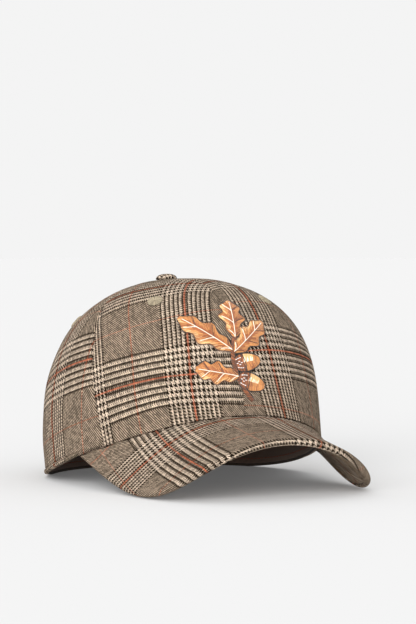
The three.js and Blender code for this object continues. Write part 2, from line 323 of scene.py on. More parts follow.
def shellFaces(rows, columns):
    # two grids, outer first, closed along their four edges
    count = rows * columns
    outer = gridFaces(rows, columns)
    inner = gridFaces(rows, columns, count)[:, ::-1]
    rim = np.concatenate([
        np.arange(columns),
        np.arange(1, rows) * columns + columns - 1,
        (rows - 1) * columns + np.arange(columns - 2, -1, -1),
        np.arange(rows - 2, 0, -1) * columns,
    ])
    after = np.roll(rim, -1)
    edge = np.stack([rim, rim + count, after + count, after], 1)
    return outer, inner, edge


def tubeFaces(rows, columns, closed=False):
    # a grid whose columns close into a ring, and whose rows do too where it is closed
    steps = rows if closed else rows - 1
    row, column = np.meshgrid(np.arange(steps), np.arange(columns), indexing="ij")
    low, high = row * columns, (row + 1) % rows * columns
    after = (column + 1) % columns
    return np.stack([low + column, low + after, high + after, high + column], -1).reshape(-1, 4)


def signedVolume(points, faces):
    total = 0
    for quad in faces:
        for n in range(1, quad.shape[1] - 1):
            a, b, c = points[quad[:, 0]], points[quad[:, n]], points[quad[:, n + 1]]
            total += np.einsum("ij,ij->i", a, np.cross(b, c)).sum() / 6
    return total


def buildPiece(name, points, faces, materials, weave=None, slots=None, sharp=40):
    points = np.asarray(points, float).reshape(-1, 3)
    if signedVolume(points, faces) < 0:
        faces = [quad[:, ::-1] for quad in faces]
    mesh = bpy.data.meshes.new(name)
    mesh.from_pydata(toFrame(points).tolist(), [], [face for quad in faces for face in quad.tolist()])
    for material in materials:
        mesh.materials.append(material)
    if slots is not None:
        mesh.polygons.foreach_set("material_index", np.concatenate(slots).astype(np.int32))
    if weave is not None:
        corners = np.zeros(len(mesh.loops), np.int32)
        mesh.loops.foreach_get("vertex_index", corners)
        layer = mesh.uv_layers.new(name="cloth")
        layer.data.foreach_set("uv", np.asarray(weave, np.float32).reshape(-1, 2)[corners].ravel())
    mesh.validate()
    mesh.polygons.foreach_set("use_smooth", np.ones(len(mesh.polygons), bool))
    mesh.set_sharp_from_angle(angle=math.radians(sharp))
    mesh.update()
    return addObject(name, mesh)


def bakeMesh(thing):
    # its mesh with the modifiers applied
    graph = bpy.context.evaluated_depsgraph_get()
    return bpy.data.meshes.new_from_object(thing.evaluated_get(graph), depsgraph=graph)


def tintPoints(piece, colours):
    layer = piece.data.attributes.new("tint", "FLOAT_COLOR", "POINT")
    layer.data.foreach_set("color", np.asarray(colours, np.float32).ravel())


def smooth(value, low, high):
    t = np.clip((value - low) / (high - low), 0, 1)
    return t * t * (3 - 2 * t)


# Materials

def newMaterial(name, roughness, sheen=0.0, specular=0.3):
    material = bpy.data.materials.new(name)
    material.use_nodes = True
    shader = material.node_tree.nodes["Principled BSDF"]
    shader.inputs["Roughness"].default_value = roughness
    shader.inputs["Sheen Weight"].default_value = sheen
    shader.inputs["Sheen Roughness"].default_value = 0.6
    shader.inputs["Specular IOR Level"].default_value = specular
    return material, material.node_tree, shader


def nodeIn(tree, kind, inputs=(), output=0, **settings):
    # each input is a value or a socket of another node
    node = tree.nodes.new(kind)
    for key, value in settings.items():
        setattr(node, key, value)
    for name, source in dict(inputs).items():
        if isinstance(source, bpy.types.NodeSocket):
            tree.links.new(source, node.inputs[name])
        else:
            node.inputs[name].default_value = source
    return node.outputs[output]


def calc(tree, operation, *values):
    return nodeIn(tree, "ShaderNodeMath", enumerate(values), operation=operation)


def choose(tree, share, low, high):
    return calc(tree, "MULTIPLY_ADD", share, calc(tree, "SUBTRACT", high, low), low)


def blendColours(tree, share, *colours, way="MIX"):
    first, second = ((*colour, 1) if isinstance(colour, tuple) else colour for colour in colours)
    inputs = {0: share, 6: first, 7: second}
    return nodeIn(tree, "ShaderNodeMix", inputs, 2, data_type="RGBA", blend_type=way)


def shadeColour(tree, shader, colour, shade):
    grey = nodeIn(tree, "ShaderNodeCombineColor", {0: shade, 1: shade, 2: shade})
    shaded = blendColours(tree, 1.0, colour, grey, way="MULTIPLY")
    tree.links.new(shaded, shader.inputs["Base Color"])


def clothPlace(tree):
    # millimetres on the cloth: both at once, across and up
    place = nodeIn(tree, "ShaderNodeUVMap", uv_map="cloth")
    return place, *(nodeIn(tree, "ShaderNodeSeparateXYZ", {0: place}, axis) for axis in (0, 1))


def noise(tree, vector, scale, detail=2.0):
    inputs = {"Vector": vector, "Scale": scale, "Detail": detail}
    return nodeIn(tree, "ShaderNodeTexNoise", inputs, "Fac")


def bump(tree, shader, height, distance, strength):
    inputs = {"Strength": strength, "Distance": distance, "Height": height}
    tree.links.new(nodeIn(tree, "ShaderNodeBump", inputs), shader.inputs["Normal"])


# Glen check in a 2/2 twill: bold bands of 4 and 4 threads, fine ones of 2 and 2, and a rust overcheck
check = {
    "warpPitch": 0.357,  # mm between threads
    "weftPitch": 0.497,
    "warpBold": 11,  # light stripes in a bold band, the middle one rust
    "weftBold": 9,
    "warpFine": 28,  # dark stripes in a fine band
    "weftFine": 20,
    "light": (0.453, 0.36, 0.275),
    "fineLight": (0.31, 0.238, 0.174),  # a shade deeper in the fine bands
    "dark": (0.016, 0.011, 0.007),
    "rust": (0.3, 0.088, 0.045),
    "rustCover": 0.5,  # how far a rust thread shows where it passes under
    "thinRust": 0.75,  # depth of the fine bands' rust line
    "darkCover": 0.28,  # how far a bold band's dark and light stripes show through fine threads
    "lightCover": 0.1,
    "warpRust": (3, 2),  # rust threads in the middle of a bold band and of a fine one
    "weftRust": (2, 1),
    "threadWander": 0.3,
    "dash": 7,  # threads along a twill line before its shade changes
    "dashWander": 0.8,
    "fuzz": 0.6,
    "relief": 0.00012,  # metres between thread and groove
}


def middleThreads(tree, place, middle, count):
    return calc(tree, "COMPARE", place, middle + (count - 1) % 2 / 2, (count - 1) / 2 + 0.1)


def cellNoise(tree, first, second, spread):
    # one random shade for each pair of whole numbers
    pair = nodeIn(tree, "ShaderNodeCombineXYZ", {0: first, 1: second})
    cell = nodeIn(tree, "ShaderNodeTexWhiteNoise", {"Vector": pair}, "Value", noise_dimensions="2D")
    return calc(tree, "MULTIPLY_ADD", cell, spread, 1 - spread / 2)


def threadColour(tree, index, way):
    # threads are counted from the rust line in the middle of a bold band
    op, blend = partial(calc, tree), partial(blendColours, tree)
    bold, fine, rust = (check[way + part] for part in ("Bold", "Fine", "Rust"))
    boldThreads = 8 * bold + 4
    fineThreads = 4 * fine + 2
    place = op("FLOORED_MODULO", op("ADD", index, 4 * bold + 1), boldThreads + fineThreads)
    finePlace = op("SUBTRACT", place, boldThreads)
    inBold = op("LESS_THAN", place, boldThreads - 0.5)
    boldLight = op("GREATER_THAN", op("FLOORED_MODULO", place, 8), 3.5)
    fineLight = op("LESS_THAN", op("FLOORED_MODULO", finePlace, 4), 1.5)
    fromMiddle = op("ABSOLUTE", op("SUBTRACT", place, 4 * bold + 1.5))
    light = choose(tree, inBold, fineLight, boldLight)
    light = op("MULTIPLY", light, op("GREATER_THAN", fromMiddle, 2))
    strong = middleThreads(tree, place, 4 * bold + 1, rust[0])
    thin = middleThreads(tree, finePlace, 2 * fine, rust[1])
    rusty = op("MAXIMUM", strong, op("MULTIPLY", thin, check["thinRust"]))
    plain = blend(light, check["dark"], blend(inBold, check["fineLight"], check["light"]))
    return blend(rusty, plain, check["rust"]), inBold, light, rusty


def checkCloth():
    material, tree, shader = newMaterial("check_cloth", 0.95, specular=0.04)
    op, blend = partial(calc, tree), partial(blendColours, tree)
    place, x, y = clothPlace(tree)
    across = op("DIVIDE", x, check["warpPitch"])
    along = op("DIVIDE", y, check["weftPitch"])
    warp, weft = op("FLOOR", across), op("FLOOR", along)
    rising, falling = op("ADD", warp, weft), op("SUBTRACT", warp, weft)
    over = op("LESS_THAN", op("FLOORED_MODULO", rising, 4), 1.5)
    warpColour, warpIn, warpLight, warpRust = threadColour(tree, warp, "warp")
    weftColour, weftIn, weftLight, weftRust = threadColour(tree, weft, "weft")
    oneBold = op("ABSOLUTE", op("SUBTRACT", warpIn, weftIn))
    boldColour = blend(warpIn, weftColour, warpColour)
    boldLight = choose(tree, warpIn, weftLight, warpLight)
    cover = choose(tree, boldLight, check["darkCover"], check["lightCover"])
    weave = blend(op("MULTIPLY", oneBold, cover), blend(over, weftColour, warpColour), boldColour)
    # where fine crosses fine, the light warp shows over a dark weft as a slanting twill line
    rusty = op("MAXIMUM", warpRust, weftRust)
    either = op("MAXIMUM", op("MAXIMUM", warpIn, weftIn), rusty)
    slants = blend(over, check["dark"], check["fineLight"])
    weave = blend(op("GREATER_THAN", either, 0.1), slants, weave)
    weave = blend(op("MULTIPLY", rusty, check["rustCover"]), weave, check["rust"])
    wander = cellNoise(tree, choose(tree, over, weft, warp), over, check["threadWander"])
    line = op("FLOOR", op("DIVIDE", rising, 4))
    dash = op("FLOOR", op("DIVIDE", falling, check["dash"]))
    dashes = cellNoise(tree, line, dash, check["dashWander"])
    fuzz = op("MULTIPLY_ADD", noise(tree, place, 1.4), check["fuzz"], 1 - check["fuzz"] / 2)
    shadeColour(tree, shader, weave, op("MULTIPLY", op("MULTIPLY", wander, dashes), fuzz))
    overHalf = op("SUBTRACT", op("FRACT", across), 0.5)
    underHalf = op("SUBTRACT", op("FRACT", along), 0.5)
    side = op("ABSOLUTE", choose(tree, over, underHalf, overHalf))
    crest = op("SUBTRACT", 1, op("MULTIPLY", op("POWER", side, 2), 4))
    bump(tree, shader, crest, check["relief"], 0.6)
    return material


def plainCloth(name, colour, roughness, speck, grain):
    material, tree, shader = newMaterial(name, roughness, sheen=0.1, specular=0.15)
    place = nodeIn(tree, "ShaderNodeTexCoord", output="Object")
    fleck = noise(tree, place, grain)
    dim = tuple(value * (1 - speck) for value in colour)
    tree.links.new(blendColours(tree, fleck, dim, colour), shader.inputs["Base Color"])
    bump(tree, shader, fleck, 0.0002, 0.4)
    return material


def ribbedCloth():
    # ribs run up the band, one each pitch; the colour darkens towards the grooves between them, painted
    # shade
    ribs = {"pitch": 1.0, "colour": (0.2, 0.12, 0.078), "between": (0.07, 0.042, 0.028)}
    material, tree, shader = newMaterial("band_cloth", 0.7, sheen=0.2, specular=0.2)
    turn = calc(tree, "MULTIPLY", clothPlace(tree)[1], 2 * math.pi / ribs["pitch"])
    crest = calc(tree, "MULTIPLY_ADD", calc(tree, "SINE", turn), 0.5, 0.5)
    # the between colour is painted shade in the grooves, set by the same crest as the bump
    colour = blendColours(tree, crest, ribs["between"], ribs["colour"])
    tree.links.new(colour, shader.inputs["Base Color"])
    bump(tree, shader, crest, 0.0003, 0.8)
    return material


def threadMaterial(name, roughness, specular, sheen):
    # colour from the stitches' own tint
    material, tree, shader = newMaterial(name, roughness, sheen=sheen, specular=specular)
    tint = nodeIn(tree, "ShaderNodeAttribute", output="Color", attribute_name="tint")
    place = nodeIn(tree, "ShaderNodeTexCoord", output="Object")
    twist = noise(tree, place, 2500, 1.0)
    shadeColour(tree, shader, tint, calc(tree, "MULTIPLY_ADD", twist, 0.5, 0.75))
    bump(tree, shader, twist, 0.0001, 0.5)
    return material


clothMaterial = checkCloth()
backingMaterial = plainCloth("backing", (0.075, 0.054, 0.04), 0.9, 0.4, 900)
bandMaterial = ribbedCloth()
sprigMaterial = threadMaterial("sprig_thread", 0.5, 0.35, 0.2)
eyeletMaterial = threadMaterial("eyelet_thread", 0.7, 0.12, 0.0)
print("materials made")


# Stitches: one unit thread on each point, turned to its heading and lying on its facing

def stitchTree():
    tree = bpy.data.node_groups.new("stitches", "GeometryNodeTree")
    sockets = {"Geometry": "Geometry", "Thread": "Float", "Arch": "Float", "Sides": "Int",
               "Rings": "Int", "Seed": "Int", "Finish": "Material"}
    for name, kind in sockets.items():
        tree.interface.new_socket(name, in_out="INPUT", socket_type="NodeSocket" + kind)
    tree.interface.new_socket("Geometry", in_out="OUTPUT", socket_type="NodeSocketGeometry")
    given = tree.nodes.new("NodeGroupInput").outputs
    op, node = partial(calc, tree), partial(nodeIn, tree)
    align = "FunctionNodeAlignRotationToVector"

    def stored(name, kind="FLOAT_VECTOR"):
        return node("GeometryNodeInputNamedAttribute", {"Name": name}, "Attribute", data_type=kind)

    # the unit thread: a round line along x that thins towards its ends and arches up in its middle
    line = node("GeometryNodeCurvePrimitiveLine", {"Start": (-0.5, 0, 0), "End": (0.5, 0, 0)})
    cut = node("GeometryNodeResampleCurve", {"Curve": line, "Count": given["Rings"]})
    swing = op("MULTIPLY", node("GeometryNodeSplineParameter", output="Factor"), math.pi)
    taper = op("POWER", op("MAXIMUM", op("SINE", swing), 0.0), 0.35)
    tapered = node("GeometryNodeSetCurveRadius", {"Curve": cut, "Radius": op("MAXIMUM", taper, 0.3)})
    ring = node("GeometryNodeCurvePrimitiveCircle", {"Resolution": given["Sides"], "Radius": 0.5})
    swept = {"Curve": tapered, "Profile Curve": ring, "Fill Caps": True}
    sweep = node("GeometryNodeCurveToMesh", swept)
    x = node("ShaderNodeSeparateXYZ", {0: node("GeometryNodeInputPosition")})
    fall = op("MULTIPLY_ADD", op("MULTIPLY", x, x), -4.0, 1.0)
    up = node("ShaderNodeCombineXYZ", {2: op("MULTIPLY", fall, given["Arch"])})
    bent = node("GeometryNodeSetPosition", {"Geometry": sweep, "Offset": up})
    # a copy on each point
    head = node(align, {"Vector": stored("heading")}, axis="X")
    face = node(align, {"Rotation": head, "Vector": stored("facing")}, axis="Z", pivot_axis="X")
    spread = {2: 0.88, 3: 1.12, "Seed": given["Seed"]}
    wander = node("FunctionNodeRandomValue", spread, 1, data_type="FLOAT")
    girth = op("MULTIPLY", wander, given["Thread"])
    size = node("ShaderNodeCombineXYZ", {0: stored("reach", "FLOAT"), 1: girth, 2: girth})
    placed = {"Points": given["Geometry"], "Instance": bent, "Rotation": face, "Scale": size}
    copies = node("GeometryNodeInstanceOnPoints", placed)
    real = node("GeometryNodeRealizeInstances", {"Geometry": copies})
    soft = node("GeometryNodeSetShadeSmooth", {"Geometry": real, "Shade Smooth": True})
    done = node("GeometryNodeSetMaterial", {"Geometry": soft, "Material": given["Finish"]})
    tree.links.new(done, tree.nodes.new("NodeGroupOutput").inputs[0])
    return tree


stitching = stitchTree()


def sewStitches(name, stitches, material, thread, arch=0.3, sides=5, rings=5, seed=3):
    # stitches: starts and ends in millimetres, the way each one faces, and its tint
    starts, ends, facing, tints = np.broadcast_arrays(*stitches)
    heading = ends - starts
    reach = np.linalg.norm(heading, axis=1)
    mesh = bpy.data.meshes.new(name + "_points")
    mesh.from_pydata(toFrame((starts + ends) / 2).tolist(), [], [])
    for label, kind, key, values in (
        ("heading", "FLOAT_VECTOR", "vector", heading / reach[:, None]),
        ("facing", "FLOAT_VECTOR", "vector", facing),
        ("reach", "FLOAT", "value", reach * mm),
        ("tint", "FLOAT_COLOR", "color", np.column_stack([tints, np.ones(len(tints))])),
    ):
        layer = mesh.attributes.new(label, kind, "POINT")
        layer.data.foreach_set(key, values.astype(np.float32).ravel())
    holder = addObject(name + "_points", mesh)
    modifier = holder.modifiers.new("stitches", "NODES")
    modifier.node_group = stitching
    wanted = {"Thread": thread * mm, "Arch": arch, "Sides": sides, "Rings": rings, "Seed": seed}
    wanted["Finish"] = material
    for item in stitching.interface.items_tree:
        if item.in_out == "INPUT" and item.name in wanted:
            modifier[item.identifier] = wanted[item.name]
    result = bakeMesh(holder)
    result.name = name
    bpy.data.objects.remove(holder)
    return addObject(name, result)


def hand(piece, slot, *nodes):
    if nodes:
        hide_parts(*nodes)
    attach(piece, "root")


# How the cloth lies on a curved piece: lengths up its middle column, then out along each row

def layFlat(points):
    rows, columns, _ = points.shape
    middle = columns // 2
    across = np.gradient(points, axis=1)
    rise = np.gradient(points, axis=0)
    normal = unit(np.cross(across, rise))
    flat = np.zeros((rows, columns, 2))
    flat[:, middle, 1] = runLength(points[:, middle])
    start = np.arcsin(np.clip((unit(across[:, middle]) * unit(rise[:, middle])).sum(1), -1, 1))
    for way in (1, -1):
        angle = start.copy()
        before = across[:, middle] * way
        column = middle
        while 0 <= column + way < columns:
            step = points[:, column + way] - points[:, column]
            face = normal[:, column]
            was = before - face * (before * face).sum(1, keepdims=True)
            now = step - face * (step * face).sum(1, keepdims=True)
            bend = np.arctan2((face * np.cross(was, now)).sum(1), (was * now).sum(1))
            angle = angle + bend
            length = np.linalg.norm(step, axis=1)
            flat[:, column + way, 0] = flat[:, column, 0] + way * np.cos(angle) * length
            flat[:, column + way, 1] = flat[:, column, 1] + way * np.sin(angle) * length
            before = step
            column += way
    return flat


def layCheck(flat, lie):
    # across and up from the rust lines of the bold bands
    lie = {**straightLie, **lie}
    u, v = flat[..., 0], flat[..., 1]
    outer = (np.hypot(u, panel["fallWidth"]) + math.copysign(1, lie["to"] + lie["from"]) * u) / 2
    across = u - lie["across"] + lie["lean"] * v + lie["curve"] * v**2
    skewed = (lie["skew"] + lie["skewRise"] * v) * u
    fallen = (lie["fall"] + lie["fallRise"] * v) * outer
    return np.stack([across, v - lie["up"] + skewed + fallen], -1)


# Crown panels, each a wall of cloth whose edges roll in at the seams
panel = {
    "columns": 112,
    "hemRows": 22,
    "rows": 96,
    "fold": 1.15,  # radius that the cloth rolls in with at a seam
    "joinFold": 0.6,  # and where the peak is sewn on
    "gap": 0.02,  # between neighbours
    "valley": 0.3,  # dip of the cloth beside a seam, and how wide it is
    "valleyWidth": 3.5,
    "pucker": 0.09,
    "puckerPitch": 5.2,
    "puckerWidth": 4,
    "welt": 2.9,  # rolled edge of the open hem
    "weltProud": 0.9,
    "weltGroove": 0.75,
    "grooveWidth": 0.42,
    "weltTop": 4.6,
    "sway": 0.35,  # low waves of the cloth
    "ease": 0.12,  # how far rows are moved up towards the button
    "fallWidth": 8,  # how softly the cloth's fall sets in past the middle
}

# Where the rust lines lie on each panel, in millimetres from the middle of its hem, and how the steamed
# cloth leans, curves, skews and falls away from them
sideSeam, backSeam = crown["sideSeam"], crown["backSeam"]
straightLie = {"lean": 0, "curve": 0, "skewRise": 0, "fall": 0, "fallRise": 0}
panels = {
    "front_panel_left": {"from": 0, "to": sideSeam, "across": -20.2, "lean": 0.231, "curve": -0.00268,
                         "up": 45.6, "skew": 0.109, "skewRise": -0.0019},
    "front_panel_right": {"from": -sideSeam, "to": 0, "across": 18.8, "lean": 0.118, "curve": -0.00121,
                          "up": 31.5, "skew": 0.071, "skewRise": -0.0026,
                          "fall": 0.29, "fallRise": -0.0064},
    "side_panel_left": {"from": sideSeam, "to": backSeam, "across": -14, "lean": 0.12,
                        "up": 52, "skew": 0.08},
    "side_panel_right": {"from": -backSeam, "to": -sideSeam, "across": 79, "curve": -0.001,
                         "up": 58.6, "skew": -0.135},
    "back_panel_left": {"from": backSeam, "to": 180, "across": 6, "up": 57, "skew": 0.03},
    "back_panel_right": {"from": -180, "to": -backSeam, "across": -12, "up": 49, "skew": -0.03},
}

eyelet = {
    "rise": 0.49,
    "radius": 5,
    "bore": 1.5,
    "slack": 0.25,  # by which the hole in the cloth is wider than the bore
    "holeSides": 20,
    "columns": 48,
    "rows": 16,
    "padLift": 0.35,  # middle of the pad over the cloth, and how far it reaches above and below that
    "padTop": 0.35,
    "padFoot": 0.2,
    "stitches": 44,
    "thread": 0.62,
    "opening": 0.5,
    "colour": (0.31, 0.26, 0.18),
}


def panelGrid(place, foot=1.0):
    share = (1 - np.cos(math.pi * np.linspace(0, 1, panel["columns"]))) / 2
    low, high = math.radians(place["from"]), math.radians(place["to"])
    guess = low + (high - low) * share
    heights = np.linspace(0, panel["weltTop"], panel["hemRows"])
    rows = [riseAtHeight(guess, height) for height in heights]
    top = riseAtRadius(guess, crown["tipRadius"])
    for climb in np.linspace(0, 1, panel["rows"] - panel["hemRows"] + 1)[1:]:
        eased = climb + panel["ease"] * math.sin(math.pi * climb) * (1 - climb)
        rows.append(rows[panel["hemRows"] - 1] * (1 - eased) + top * eased)
    rise = np.array(rows)
    start, end = seamAt(place["from"], rise, foot), seamAt(place["to"], rise, foot)
    width = skinWidth((start + end) / 2, rise)
    margin = panel["gap"] / 2 / width
    return start + margin + (end - start - 2 * margin) * share, rise


def roll(distance, radius):
    into = 1 - np.clip(distance / radius, 0, 1)
    return radius * (1 - np.sqrt(1 - into**2))


def panelRelief(angle, rise):
    width = skinWidth(angle, rise)
    fromStart = (angle - angle[:, :1]) * width
    fromEnd = (angle[:, -1:] - angle) * width
    edge = np.minimum(fromStart, fromEnd)
    height = crownSkin(angle, rise)[..., 2] - hemHeight(angle)
    relief = -roll(edge, panel["fold"])
    relief -= panel["valley"] * np.exp(-((edge / panel["valleyWidth"]) ** 2)) * smooth(width, 10, 40)
    wave = np.sin(2 * math.pi * height / panel["puckerPitch"] + 4 * np.sin(angle * 3))
    beside = np.exp(-((edge / panel["puckerWidth"]) ** 2))
    relief += panel["pucker"] * wave * beside * smooth(height, 3, 12)
    swayWave = np.sin(angle * 7 + 1.3 + height / 19) * np.sin(height / 13 + angle * 3)
    relief += panel["sway"] * swayWave * smooth(edge, 4, 25) * smooth(height, 5, 25)
    free = smooth(np.degrees(np.abs(angle)), peak["corner"] - 1.0, peak["corner"] + 3.0)
    half = panel["welt"] / 2
    bulge = np.sqrt(np.maximum(0, 1 - ((height - half) / half) ** 2))
    groove = np.exp(-(((height - panel["welt"] - 0.2) / panel["grooveWidth"]) ** 2))
    relief += free * (panel["weltProud"] * bulge - 0.3 * (height < 0.05) - panel["weltGroove"] * groove)
    relief -= (1 - free) * roll(height, panel["joinFold"])
    return relief


def holeAt(place):
    rise = eyelet["rise"]
    return float(seamAt(place["from"], rise) + seamAt(place["to"], rise)) / 2


def carryFlat(flat, known, angle):
    # the cloth's lie at other angles of the same rows, run on straight past their ends
    carried = np.empty_like(flat)
    edge = 8  # columns that give the slope past an end
    for row, axis in np.ndindex(len(flat), 2):
        before, lie = known[row], flat[row, :, axis]
        moved = np.interp(angle[row], before, lie)
        for end, inner, way in ((0, edge, -1), (-1, -1 - edge, 1)):
            past = angle[row] - before[end]
            slope = (lie[end] - lie[inner]) / (before[end] - before[inner])
            moved = np.where(past * way > 0, lie[end] + slope * past, moved)
        carried[row, :, axis] = moved
    return carried


def crownPanel(name, place):
    angle, rise = panelGrid(place)
    straight, _ = panelGrid(place, foot=0)
    skin = crownSkin(angle, rise)
    normal = crownNormal(angle, rise)
    outer = skin + normal * panelRelief(angle, rise)[..., None]
    inner = skin - normal * crown["wall"]
    inner[0, :, 2] = outer[0, :, 2] = skin[0, :, 2]
    flat = layCheck(carryFlat(layFlat(crownSkin(straight, rise)), straight, angle), place)
    faces = shellFaces(*rise.shape)
    slots = [np.full(len(part), slot) for part, slot in zip(faces, (0, 1, 0))]
    cloths = [clothMaterial, backingMaterial]
    piece = buildPiece(name + "_cloth", [outer, inner], faces, cloths, [flat, flat], slots)
    punchHole(piece, holeAt(place))
    return piece


def eyeletRing(angle, count):
    # the middle of an eyelet, the way out of the cloth, and the ways to points round it
    centre = crownSkin(angle, eyelet["rise"])
    outward = crownNormal(angle, eyelet["rise"])
    sideways = unit(np.cross((0, 0, 1), outward))
    turn = circleAngles(count)[:, None]
    return centre, outward, np.cos(turn) * sideways + np.sin(turn) * np.cross(outward, sideways)


def punchHole(piece, angle):
    count = eyelet["holeSides"]
    centre, outward, circle = eyeletRing(angle, count)
    ring = centre + circle * (eyelet["bore"] + eyelet["slack"])
    faces = [tubeFaces(2, count), np.arange(count)[None, ::-1], np.arange(count, 2 * count)[None]]
    walls = [np.ones(len(part)) for part in faces]
    points = [ring - 6 * outward, ring + 6 * outward]
    cutter = buildPiece("punch", points, faces, [clothMaterial, backingMaterial], slots=walls)
    cut = piece.modifiers.new("bore", "BOOLEAN")
    cut.operation = "DIFFERENCE"
    cut.solver = "MANIFOLD"
    cut.object = cutter
    bored = bakeMesh(piece)
    piece.modifiers.remove(cut)
    piece.data = bored
    bpy.data.objects.remove(cutter)


for name, place in panels.items():
    hand(crownPanel(name, place), "check_cloth", name)
print("six crown panels sewn")


# Peak: board and top cloth in one, rounded over the rim, with the cloth underneath let into it
peakCloth = {
    "columns": 161,
    "rows": 44,
    "arcSteps": 14,
    "edgeGap": 0.45,
    "tuck": 0.5,  # radius that the top rolls in with where it is sewn on
    "underShare": 32 / 36,  # of the width, that the cloth underneath takes up
    "underStart": 0.02,
    "underRound": 0.9,
    "across": 58.3,  # rust line of the band that runs from side to side, behind the tip
    "bow": 0.0014,
    "up": -57,  # rust line of the band that runs forward
    "underAcross": 21,
    "underUp": 13,
    # depth behind the crown's skin, and height above the join, of the edge sewn in behind the panels
    "allowance": ((2, -2.6), (2, 1.4), (1.72, 1.4), (1.72, -0.05)),
}


def boardFlat(points):
    # the board is a flat sheet bent about a line that runs forward
    x = np.clip(points[..., 0] / bendRadius, -0.999, 0.999)
    forward = (points[..., 1] - tipY) / math.cos(math.radians(peak["pitch"]))
    return np.stack([bendRadius * np.arcsin(x), forward], -1)


def peakCheck(flat, across=0, up=0):
    # cut with the warp from side to side
    u, v = flat[..., 0], flat[..., 1]
    bow = peakCloth["bow"] * u**2
    return np.stack([v - peakCloth["across"] - bow + across, u - peakCloth["up"] + up], -1)


def peakRuling(side, reach, depth):
    join = peakJoin(side)
    reach, depth = (np.broadcast_to(part, side.shape)[:, None] for part in (reach, depth))
    return join + (peakEdge(side) - join) * reach - peakNormal(side) * depth


def peakTopPiece():
    side = np.linspace(-1, 1, peakCloth["columns"])
    length = peakLength(side)
    radius = np.minimum(rimWall / 2, 0.5 * length)
    way = unit(boardFlat(peakEdge(side)) - boardFlat(peakJoin(side)))
    rows, flats = [], []

    def addRow(reach, depth, flat=None):
        rows.append(peakRuling(side, reach, depth))
        flats.append(boardFlat(rows[-1]) if flat is None else flat)

    for share in np.linspace(0, 1, peakCloth["rows"]):
        reach = share * (1 - radius / length)
        addRow(reach, roll(reach * length, peakCloth["tuck"]))
    rim = flats[-1]
    for turn in np.linspace(0, math.pi, peakCloth["arcSteps"])[1:]:
        reach = 1 - radius / length + radius * math.sin(turn) / length
        addRow(reach, rimWall / 2 * (1 - math.cos(turn)), rim + way * (turn * radius)[:, None])
    fold = flats[-1]
    lip = np.minimum(peak["rimWidth"], 0.85 * length)
    for share in (0.35, 0.75, 1):
        past = (lip - radius) * share
        addRow(1 - (radius + past) / length, rimWall, fold + way * past[:, None])
    addRow(1 - (lip + 0.05) / length, peak["board"], flats[-1])
    for share in (0.75, 0.5, 0.25, 0):
        addRow(share * (1 - lip / length), peak["board"])
    for depth, lift in peakCloth["allowance"]:
        rows.append(peakJoin(side, depth) + (0, 0, lift))
        flats.append(flats[0])
    points = np.array(rows)
    points[..., 2] = np.maximum(points[..., 2], 0)
    ring = np.arange(points[..., 0].size).reshape(points.shape[:2])
    after = np.roll(ring, -1, axis=0)
    walls = np.stack([ring[:, :-1], ring[:, 1:], after[:, 1:], after[:, :-1]], -1).reshape(-1, 4)
    faces = [walls, ring[::-1, 0][None], ring[:, -1][None]]
    return buildPiece("peak_cloth", points, faces, [clothMaterial], peakCheck(np.array(flats)))


def peakUnderPiece():
    side = np.linspace(-1, 1, peakCloth["columns"]) * peakCloth["underShare"]
    length = peakLength(side)
    first, last = peakCloth["underStart"], 1 - (peak["rimWidth"] + peakCloth["edgeGap"]) / length
    outer, inner = [], []
    for share in np.linspace(0, 1, peakCloth["rows"]):
        reach = first + share * (last - first)
        rounded = roll((last - reach) * length, peakCloth["underRound"])
        outer.append(peakRuling(side, reach, rimWall - rounded))
        inner.append(peakRuling(side, reach, peak["board"] + crown["gap"]))
    outer = np.array(outer)
    outer[..., 2] = np.maximum(outer[..., 2], 0)
    flat = peakCheck(boardFlat(outer), peakCloth["underAcross"], peakCloth["underUp"])
    faces = shellFaces(*outer.shape[:2])
    points = [outer, np.array(inner)]
    return buildPiece("peak_underside_cloth", points, faces, [clothMaterial], [flat, flat])


def peakStitches():
    # two rows of running stitches under the peak, along its rim
    run = {
        "pitch": 3.4,
        "length": 2.5,
        "thread": 0.55,
        "insets": (7.0, 13.5),
        "reach": 0.8,
        "colour": (0.20, 0.145, 0.09),
    }
    side = np.linspace(-run["reach"], run["reach"], 900)
    length = peakLength(side)
    normal = -peakNormal(side)
    stitches = []
    for inset in run["insets"]:
        path = peakRuling(side, 1 - inset / length, rimWall + 0.02)
        along = runLength(path)
        begin = np.arange(0, along[-1] - run["pitch"], run["pitch"])
        starts, ends = (pointsAlong(path, along, begin + past) for past in (0, run["length"]))
        stitches.append((starts, ends, unit(pointsAlong(normal, along, begin + run["length"] / 2))))
    stitches = [np.concatenate(part) for part in zip(*stitches)] + [run["colour"]]
    return sewStitches("peak_stitches", stitches, eyeletMaterial, run["thread"])


hand(peakTopPiece(), "check_cloth", "peak_top")
hand(peakUnderPiece(), "check_cloth", "peak_underside")
hand(peakStitches(), "eyelet_thread")
print("peak covered")


# Sweatband: a ribbed tape inside the hem
band = {
    "lift": 1.6,
    "height": 30,
    "face": 2.1,
    "wall": 1.2,
    "round": 0.5,  # radius of its edges
    "columns": 360,
    "rows": 14,
    "stitches": 190,
    "stitchSpan": ((0.18,), (0.82,)),  # shares of the pitch where each starts and ends
    "stitchLift": 3.2,
    "thread": 0.5,
    "threadColour": (0.30, 0.07, 0.035),
}


def bandPoint(angle, height, depth):
    return crownPoint(angle, riseAtHeight(angle, height), depth)


